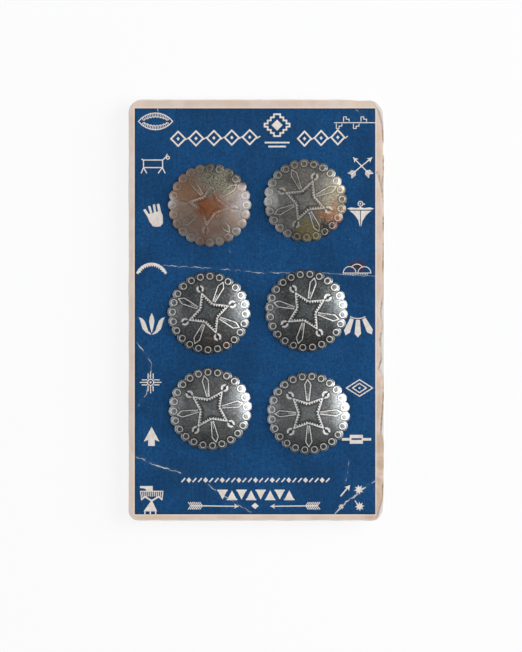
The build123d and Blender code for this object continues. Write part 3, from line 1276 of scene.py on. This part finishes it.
        eighth = (angle % (pi / 2)) - pi / 4
        dot_across = reach * np.sin(eighth)
        dot = np.hypot(reach * np.cos(eighth) - self.dot_circle, dot_across)
        bar = smooth_step(np.abs(dot_across), 0.14, 0.34)
        ring = self.from_ring(reach, angle)
        stamp = np.maximum.reduce(
            [
                bell(petal, self.line_width, 4),
                0.7 * bell(spine, 0.12, 4),
                band,
                bell(dot - self.dot_radius + 0.3, 0.32, 4) * bar,
                bell(ring - self.ring_radius, self.ring_width, 4),
            ]
        )
        dirt = np.maximum.reduce(
            [
                0.35 * smooth_step(-ring, -self.ring_radius + 0.1, -self.ring_radius + 0.5),
                0.6 * bell(ring - self.ring_radius - 0.4, 0.22, 4) * (reach < self.ring_circle + 0.2),
                0.45 * bell(petal - 0.34, 0.2, 4),
                0.7 * bell(into_star - self.star_band - 0.1, 0.4, 4) * within_star,
                0.4 * bell(into_star + 0.35, 0.2, 4) * within_star,
                0.8 * (1 - bar) * (dot < self.dot_radius + 0.3),
            ]
        )
        return np.clip(stamp, 0, 1), np.clip(dirt * (1 - stamp), 0, 1)

    def face(self, angle: Array) -> tuple[Array, Array, Array, Array]:
        """Work out the face on rings round the crown, which grow from circles to the scalloped outline.

        It is the dome, less the stamping, the valleys between the lobes and the rubbed edge, plus a
        slow unevenness that fades out towards the rim.

        Args:
            angle: The direction of each spoke, starting in a valley of the rim.

        Returns:
            The reach, the height, the stamping and the dirt of each ring's points.
        """
        rim = self.rim(angle)[None, :]
        crown = np.linspace(0, self.crown_share, self.crown_rings + 1)[1:]
        worked = np.linspace(self.crown_share, 1, self.face_rings - self.crown_rings + 1)[1:]
        share = np.concatenate([crown, worked])[:, None]
        valley = rim[0, 0]
        reach = share * (valley + (rim - valley) * share**5)
        x, y = reach * np.cos(angle), reach * np.sin(angle)
        stamp, dirt = self.stamping(x, y)
        worn = 1 - self.finish.sharpness
        stamp = stamp * np.clip(1 - worn + 0.35 * worn * ripple(x, y, 7.0, self.seed + 2), 0, 1)
        dirt = dirt * (1 - 0.7 * worn)
        beyond_ring = smooth_step(self.from_ring(reach, angle[None, :]), 0.9, 1.9)
        valleys = self.lobe_fall * beyond_ring * smooth_step(reach, 10.4, 11.3)
        dome = self.dome_centre + np.sqrt(self.dome_radius**2 - reach**2)
        uneven = 0.018 * ripple(x, y, 7.5, self.seed) + 0.006 * ripple(x, y, 2.4, self.seed + 1)
        top = dome - self.stamp_depth * stamp - valleys + uneven * (1 - share**8) - self.inset
        return reach, top - self.rub_depth * smooth_step(share, 0.975, 1.0), stamp, dirt

    def build(self) -> bpy.types.Object:
        """Build the cap as one closed surface, a profile carried round the axis.

        The profile runs from the crown over the dome to the rim, down the cut edge and back under
        the rim to the inside of the dome.
        """
        angle = np.radians(self.lobe_phase + 180 / self.lobes) + np.arange(self.spokes) * 2 * pi / self.spokes
        reach, top, stamp, dirt = self.face(angle)
        inside = self.dome_radius - self.sheet
        land = np.sqrt(inside**2 - self.dome_centre**2)
        under = land * np.array([0.9, 0.75, 0.58, 0.4, 0.2])
        hollow = self.dome_centre + np.sqrt(inside**2 - under**2)
        rim = self.rim(angle)
        reach = np.vstack([reach, rim, rim - 0.03, *(np.full(self.spokes, r) for r in (land, *under))])
        height = np.vstack([top, *(np.full(self.spokes, h) for h in (0.16, 0.02, 0.0, *hollow))])
        turned = angle + np.radians(self.turn)
        points = np.stack([reach * np.cos(turned), reach * np.sin(turned), height], axis=-1).reshape(-1, 3)
        poles = [[0, 0, self.dome_centre + self.dome_radius - self.inset], [0, 0, self.dome_centre + inside]]
        points = np.vstack([points, poles]) + [*self.centre, self.seat]
        rings = len(reach)
        number = np.arange(rings * self.spokes).reshape(rings, self.spokes)
        after = np.roll(number, -1, axis=1)
        quads = np.stack([number[:-1], number[1:], after[1:], after[:-1]], axis=-1).reshape(-1, 4)
        first = np.stack([np.full(self.spokes, rings * self.spokes), number[0], after[0]], axis=1)
        last = np.stack([np.full(self.spokes, rings * self.spokes + 1), after[-1], number[-1]], axis=1)
        loops = np.concatenate([quads.ravel(), first.ravel(), last.ravel()])
        sizes = np.concatenate([np.full(len(quads), 4), np.full(2 * self.spokes, 3)])
        plain = np.zeros(len(points) - stamp.size)
        marks = {"stamp": stamp, "dirt": dirt}
        attributes = {label: np.concatenate([values.ravel(), plain]) for label, values in marks.items()}
        made = build_object(f"button_cap_{self.place}", points, loops, sizes, attributes)
        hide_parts(f"button_disc_{self.place}")
        made.data.materials.append(self.metal())
        return made

    def metal(self) -> bpy.types.Material:
        """Make the cap's antiqued nickel silver.

        Stamped and polished sheet that was darkened and rubbed back: soft dark mirror in the open areas, pale
        and frosted in the stamped lines, with dirt in the low places and tarnish patches on top. The stamped
        lines are paler than frosted metal alone, as a painted highlight of the light that their walls catch,
        and the pale patches on the left rim of two caps are a painted highlight.
        """
        look, seed = self.finish, self.seed
        recipe = Recipe(f"antiqued_nickel_silver_{self.place}")
        stamp, dirt = recipe.attribute("stamp"), recipe.attribute("dirt")
        clouds = recipe.blots(4.0, 0.42, 0.72, 0.0, 0.8, detail=4.0, shift=seed)
        base = recipe.blend(clouds, look.patina, look.cloud)
        base = recipe.blend(recipe.blots(0.6, 0.42, 0.62, 0.0, 0.45, shift=seed + 1.0), base, look.cloud)
        rough_range = look.roughness - 0.05, look.roughness + 0.05
        rough = recipe.blots(0.35, 0.3, 0.7, *rough_range, detail=2.0, shift=seed + 0.3)
        metal, pits = look.metal, 0.0
        # Lay each patch on the base: tarnish and corrosion, darker patches, and pale patches that paint a
        # highlight on the left rim.
        for number, tint in enumerate(look.stains_and_sheen):
            cover = self.stain_or_sheen_cover(recipe, tint, number)
            base = recipe.blend(cover, base, tint.colour)
            rough = recipe.maths(Maths.LARGER, rough, recipe.maths(Maths.TIMES, cover, tint.roughness))
            dulled = recipe.maths(Maths.TIMES, cover, 0.35 * tint.roughness)
            metal = recipe.maths(Maths.LESS, metal, dulled)
            if tint.pitted:
                specks = recipe.blots(0.45, 0.52, 0.6, 0.0, tint.pitted, shift=number + 1.1)
                pits = recipe.maths(Maths.LARGER, recipe.maths(Maths.TIMES, specks, cover), pits)
        base = recipe.blend(recipe.blots(0.5, 0.5, 0.68, 0.0, look.flecks, shift=seed + 4.0), base, "#d8d6d2")
        base = recipe.blend(pits, base, "#25221d")
        base = recipe.blend(recipe.maths(Maths.TIMES, dirt, 0.8), base, "#232525")
        patchy = recipe.blots(1.6, 0.25, 0.6, 0.6 * look.sharpness, 1.0, detail=2.0, shift=seed + 3.0)
        # Paint the stamped lines pale: rubbed, frosted metal, and partly a painted highlight of the light
        # that their walls catch.
        base = recipe.blend(recipe.maths(Maths.TIMES, stamp, patchy), base, look.bright)
        rough = recipe.maths(Maths.LARGER, rough, recipe.maths(Maths.TIMES, stamp, 0.62))
        metal = recipe.maths(Maths.TIMES, metal, recipe.ramp(stamp, 0.1, 0.9, 1.0, 0.45))
        worn = recipe.bump(recipe.noise(0.22, 2.0, shift=seed + 2.0), 0.004)
        if look.stains_and_sheen:
            worn = recipe.bump(pits, -0.04, worn)
        return recipe.finish(Base_Color=base, Metallic=metal, Roughness=rough, Normal=worn)

    def stain_or_sheen_cover(self, recipe: Recipe, tint: StainOrSheen, number: int) -> Socket:
        """Give how far a patch covers each place: a disc that fades out, with a ragged edge."""
        shift = (*(-(self.centre + tint.at) * MM).tolist(), 0.0)
        level = add(recipe.tree, "Mapping", {"Vector": recipe.place, "Location": shift, "Scale": (1, 1, 0)})
        away = add(recipe.tree, "VectorMath", {0: level}, out="Value", operation="LENGTH")
        ragged = recipe.blots(2.2, 0.2, 0.8, -0.3, 0.3, shift=number + 0.7)
        away = recipe.maths(Maths.PLUS, away, recipe.maths(Maths.TIMES, ragged, tint.reach * MM))
        return recipe.ramp(away, tint.reach * MM, 0.25 * tint.reach * MM, 0.0, tint.amount)


def card_board_material() -> bpy.types.Material:
    """Make the aged pulp board: cream turned peach and tan, pale at its rubbed edges, matt."""
    recipe = Recipe("aged_pulp_board")
    base = recipe.blend(recipe.blots(5.0, 0.3, 0.7), "#ecd9cb", "#e2cbb9")
    warm = recipe.blots(3.5, 0.45, 0.75, 0.0, 0.5, detail=2.0, shift=2.0)
    base = recipe.blend(warm, base, "#ecc9a6")
    across, up = (add(recipe.tree, "SeparateXYZ", {0: recipe.place}, out=i) for i in range(2))
    right = recipe.ramp(across, 30 * MM, 37.5 * MM)
    low = recipe.ramp(up, 0.0, -55 * MM, 0.1, 0.55)
    tint = recipe.maths(Maths.TIMES, right, low)
    tint = recipe.maths(Maths.TIMES, tint, recipe.blots(3.0, 0.3, 0.65, shift=6.0))
    base = recipe.blend(tint, base, "#b8976f")
    base = recipe.blend(recipe.attribute("pale"), base, "#f3eee9")
    soiled = recipe.blots(0.8, 0.35, 0.6, 0.35, 0.95, shift=8.0)
    base = recipe.blend(recipe.maths(Maths.TIMES, recipe.attribute("fold"), soiled), base, "#76583c")
    bump = recipe.bump(recipe.noise(0.25), 0.015)
    return recipe.finish(Base_Color=base, Roughness=0.85, Specular_IOR_Level=0.25, Normal=bump)


def printed_paper_material() -> bpy.types.Material:
    """Make the printed field: flat blue ink on paper, mottled, rubbed through along the creases."""
    recipe = Recipe("blue_letterpress_ink")
    base = recipe.blend(recipe.blots(14.0, 0.35, 0.65), "#0e4573", "#135085")
    grain = recipe.blots(0.8, 0.35, 0.7, shift=1.0)
    base = recipe.blend(recipe.maths(Maths.TIMES, grain, 0.6), base, "#0c3459")
    dust = recipe.blots(0.45, 0.62, 0.8, 0.0, 0.4, detail=2.0, shift=3.0)
    base = recipe.blend(dust, base, "#7d93a8")
    streaks = recipe.blots(0.5, 0.5, 0.75, 0.0, 0.08, detail=2.0, stretch=(1, 14, 1), shift=9.0)
    base = recipe.blend(streaks, base, "#4f7599")
    base = recipe.blend(recipe.maths(Maths.TIMES, recipe.attribute("rim"), 0.7), base, "#122a47")
    rust_spot = {0: recipe.place, 1: tuple(v * MM for v in (30.6, 13.2, 3.8))}
    rust = add(recipe.tree, "VectorMath", rust_spot, out="Value", operation="DISTANCE")
    rust = recipe.ramp(rust, 3.4 * MM, 0.6 * MM, 0.0, 0.95)
    rust = recipe.maths(Maths.TIMES, rust, recipe.blots(1.3, 0.35, 0.5, shift=7.0))
    base = recipe.blend(rust, base, "#4b2a36")
    wear = recipe.attribute("rubbed")
    speck = recipe.noise(0.5, shift=5.0)
    bared = recipe.maths(Maths.PLUS, speck, recipe.maths(Maths.TIMES, wear, 0.36))
    bared = recipe.ramp(bared, 0.8, 0.92)
    base = recipe.blend(recipe.maths(Maths.TIMES, wear, 0.22), base, "#5f7d9b")
    base = recipe.blend(recipe.maths(Maths.TIMES, bared, 0.8), base, "#b9bcbf")
    bump = recipe.bump(recipe.noise(0.3), 0.012)
    return recipe.finish(Base_Color=base, Roughness=0.62, Specular_IOR_Level=0.14, Normal=bump)


def bare_paper_material() -> bpy.types.Material:
    """Make the unprinted figures: the card's own cream showing through the ink."""
    recipe = Recipe("unprinted_card_stock")
    base = recipe.blend(recipe.blots(1.1, 0.35, 0.7), "#f1ebe4", "#e6dccf")
    return recipe.finish(Base_Color=base, Roughness=0.8, Specular_IOR_Level=0.15)


def bare_core_material() -> bpy.types.Material:
    """Make the cracked ink's lines: the board's pale core, open fibre with grey dirt in it."""
    recipe = Recipe("cracked_board_core")
    base = recipe.blend(recipe.blots(0.6, 0.35, 0.7), "#dcd9d5", "#9fa9b3")
    return recipe.finish(Base_Color=base, Roughness=0.9, Specular_IOR_Level=0.1)


def wire_material(name: str, colour: str, dark: str) -> bpy.types.Material:
    """Make drawn wire or strap metal: dull, with darker tarnish in patches."""
    recipe = Recipe(name)
    base = recipe.blend(recipe.blots(0.9, 0.35, 0.7), colour, dark)
    rough = recipe.blots(0.3, 0.3, 0.7, 0.3, 0.48, detail=2.0)
    bump = recipe.bump(recipe.noise(0.12, 2.0, stretch=(1, 8, 1)), 0.003)
    return recipe.finish(Base_Color=base, Metallic=0.9, Roughness=rough, Normal=bump)


def dress_hardware() -> None:
    """Give the shank loops and the keeper pins, which stay as packed, their metals."""
    strap = wire_material("soldered_strap_metal", "#a9a79c", "#6f675a")
    wire = wire_material("brass_pin_wire", "#b5985c", "#70592f")
    for place in BUTTON_PLACES:
        for node, metal in ((f"shank_loop_{place}", strap), (f"keeper_pin_{place}", wire)):
            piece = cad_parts[node]
            piece.data.materials.clear()
            piece.data.materials.append(metal)


@dataclass(frozen=True)
class Glow:
    """A patch of light in the surroundings that fades out round its middle.

    Attributes:
        azimuth: Its direction round the card, from +X towards +Y.
        off_vertical: Its angle from straight overhead.
        core: How far from its middle it is at full strength.
        reach: How far from its middle it has faded out.
        strength: Its radiance at full strength.
    """

    azimuth: float
    off_vertical: float
    core: float
    reach: float
    strength: float


@dataclass
class Studio:
    """The pale floor, the key light, the surroundings and the camera.

    Attributes:
        frame_height: How much of the card's plane the picture's height shows.
        camera_offset: Where the camera looks down on that plane.
        lens: The camera's focal length.
        sensor: The height of its sensor.
        floor_size: The length of the floor's sides.
        floor_glow: How much of the floor's white is its own where it is seen.
        dim: The radiance of the surroundings overhead.
        glows: The patches of light in them.
        key_azimuth: The key light's direction round the card, from +X towards +Y.
        key_off_vertical: Its angle from straight overhead.
        key_distance: How far it hangs from the card.
        key_size: Its width and height.
        key_power: Its power in watts.
    """

    frame_height: float = 198.2
    camera_offset: Point = (1.31, -4.86)
    lens: float = 500.0
    sensor: float = 36.0
    floor_size: float = 8000.0
    floor_glow: float = 0.85
    dim: float = 0.13
    glows: tuple[Glow, ...] = (
        Glow(azimuth=0.0, off_vertical=0.0, core=4.0, reach=44.0, strength=0.3),
        Glow(azimuth=4.0, off_vertical=63.0, core=7.0, reach=37.0, strength=2.05),
        Glow(azimuth=175.0, off_vertical=64.0, core=5.0, reach=31.0, strength=1.1),
        Glow(azimuth=95.0, off_vertical=44.0, core=5.0, reach=30.0, strength=0.18),
    )
    key_azimuth: float = 14.0
    key_off_vertical: float = 64.0
    key_distance: float = 1100.0
    key_size: Point = (850.0, 700.0)
    key_power: float = 9.5

    def build(self) -> None:
        """Set up everything that is not part of the object."""
        self.floor()
        self.surroundings()
        self.key_light()
        self.camera()
        bpy.context.scene.view_settings.view_transform = "Standard"

    def floor(self) -> None:
        """Lay a large pale floor at the level that the loops rest on.

        Seen directly, or in metal, part of its white is its own, as a backdrop's, so that it stays
        white round the object and keeps a light shadow under it.
        """
        corners = np.array([[-1, -1, 0], [1, -1, 0], [1, 1, 0], [-1, 1, 0]]) * self.floor_size / 2
        made = build_object("floor", corners, np.arange(4), np.array([4]))
        recipe = Recipe("pale_studio_floor")
        seen = 0.0
        for ray in ("Is Camera Ray", "Is Glossy Ray", "Is Transmission Ray"):
            seen = recipe.maths(Maths.LARGER, add(recipe.tree, "LightPath", out=ray), seen)
        share = recipe.maths(Maths.TIMES, seen, self.floor_glow)
        matt = add(recipe.tree, "BsdfDiffuse", {"Color": linear("#ffffff")})
        glow = add(recipe.tree, "Emission", {"Strength": 1.0})
        mixed = add(recipe.tree, "MixShader", {0: share, 1: matt, 2: glow})
        add(recipe.tree, "OutputMaterial", {"Surface": mixed})
        made.data.materials.append(recipe.material)

    def surroundings(self) -> None:
        """Light it from all round: dim, with soft patches that the domes mirror and a paler horizon.

        The horizon's radiance is 0.3 + 1.5 x^2, where x is a direction's part along X.
        """
        world = bpy.data.worlds.new("studio_surroundings")
        bpy.context.scene.world = world
        world.use_nodes = True
        tree = world.node_tree
        tree.nodes.clear()
        towards = add(tree, "TexCoord", out="Generated")
        across, up = (add(tree, "SeparateXYZ", {0: towards}, out=i) for i in (0, 2))
        beside = add(tree, "Math", {0: across, 1: across}, operation="MULTIPLY")
        brightest = add(tree, "Math", {0: beside, 1: 1.5, 2: 0.3}, operation="MULTIPLY_ADD")
        horizon = {"Value": up, "From Min": 0.5, "From Max": 0.08, "To Min": self.dim, "To Max": brightest}
        light = add(tree, "MapRange", horizon, interpolation_type="SMOOTHSTEP")
        for glow in self.glows:
            facing = {0: towards, 1: direction(glow.azimuth, glow.off_vertical)}
            faced = add(tree, "VectorMath", facing, out="Value", operation="DOT_PRODUCT")
            faint, full = (float(np.cos(np.radians(angle))) for angle in (glow.reach, glow.core))
            fade = {"Value": faced, "From Min": faint, "From Max": full, "To Max": glow.strength}
            patch = add(tree, "MapRange", fade, interpolation_type="SMOOTHSTEP")
            light = add(tree, "Math", {0: light, 1: patch}, operation="ADD")
        shade = add(tree, "Background", {"Color": linear("#fbfcff"), "Strength": light})
        add(tree, "OutputWorld", {"Surface": shade})

    def key_light(self) -> None:
        """Hang one large softbox at the right that faces the card."""
        lamp = bpy.data.lights.new("key", "AREA")
        lamp.shape = "RECTANGLE"
        lamp.size, lamp.size_y = (length * MM for length in self.key_size)
        lamp.energy = self.key_power
        back = Vector(direction(self.key_azimuth, self.key_off_vertical))
        made = bpy.data.objects.new("key", lamp)
        made.location = back * self.key_distance * MM
        made.rotation_euler = back.to_track_quat("Z", "Y").to_euler()
        bpy.context.scene.collection.objects.link(made)

    def camera(self) -> None:
        """Look straight down on the card with a long lens, framed as the photograph is."""
        face = cad_box("print_field")[1][2]
        lens = bpy.data.cameras.new("portrait_camera")
        lens.sensor_fit = "VERTICAL"
        lens.sensor_height = self.sensor
        lens.lens = self.lens
        distance = self.frame_height * self.lens / self.sensor
        lens.clip_end = 4 * distance * MM
        made = bpy.data.objects.new("portrait_camera", lens)
        x, y = self.camera_offset
        made.location = (x * MM, y * MM, (face + distance) * MM)
        bpy.context.scene.collection.objects.link(made)
        bpy.context.scene.camera = made


def main() -> None:
    """Build the card, its buttons and the studio."""
    logging.basicConfig(level=logging.INFO, format="%(name)s: %(message)s")
    sheet = CardSheet()
    board = sheet.board()
    board.data.materials.append(card_board_material())
    printed = sheet.printed_field()
    printed.data.materials.append(printed_paper_material())
    pieces = [board, printed, *PrintedFigures(sheet).build()]
    for place in BUTTON_PLACES:
        pieces.append(StampedCap(place, TURNS[place], FINISHES[place]).build())
    dress_hardware()
    for piece in pieces:
        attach(piece, "root")
    Studio().build()


if __name__ == "__main__":
    main()
